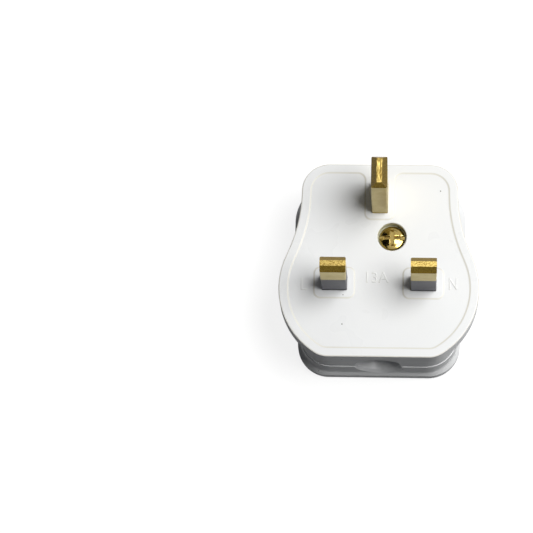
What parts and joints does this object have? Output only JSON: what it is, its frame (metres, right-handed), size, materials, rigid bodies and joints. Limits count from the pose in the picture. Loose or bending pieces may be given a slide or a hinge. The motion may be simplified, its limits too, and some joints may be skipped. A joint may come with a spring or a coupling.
{
  "type": "plug top",
  "caption": "Rewirable flat-pin mains plug with a bell-shaped face, sleeved line pins, brass earth pin and a fuse inside",
  "frame": {"origin": "on the back face of the cover, directly behind the point midway between the live and neutral pins", "axes": "+Z out along the pins, +Y from the cord side to the earth pin, +X from the live pin to the neutral pin"},
  "size_m": [0.05, 0.0519, 0.0425],
  "materials": {
    "housing": "white moulded thermoset, satin gloss",
    "pin_brass": "solid brass, drawn sides and sawn tips",
    "sleeve": "dark grey insulating sleeve",
    "screw_brass": "bright polished brass",
    "terminal_brass": "machined brass",
    "clip_bronze": "rolled spring bronze",
    "ceramic": "unglazed cream ceramic, held as matt plastic",
    "cap_metal": "nickel plated",
    "element": "tinned wire",
    "fibre": "red vulcanised fibre",
    "grip_plastic": "white nylon",
    "grip_screw": "zinc plated"
  },
  "bodies": {
    "root": {"pin_base": "housing", "rear_cover": "housing", "earth_pin": "pin_brass", "neutral_pin": "pin_brass", "live_pin": "pin_brass", "neutral_sleeve": "sleeve", "live_sleeve": "sleeve", "cover_screw": "screw_brass", "screw_keeper": "fibre", "cover_nut": "terminal_brass", "earth_terminal_screw": "terminal_brass", "neutral_terminal_screw": "terminal_brass", "live_terminal_screw": "terminal_brass", "live_terminal": "terminal_brass", "fuse_clip_lower": "clip_bronze", "fuse_clip_upper": "clip_bronze", "fuse_tube": "ceramic", "fuse_cap_lower": "cap_metal", "fuse_cap_upper": "cap_metal", "fuse_element": "element", "cord_grip_bar": "grip_plastic", "cord_grip_screw_left": "grip_screw", "cord_grip_screw_right": "grip_screw"}
  },
  "joints": []
}
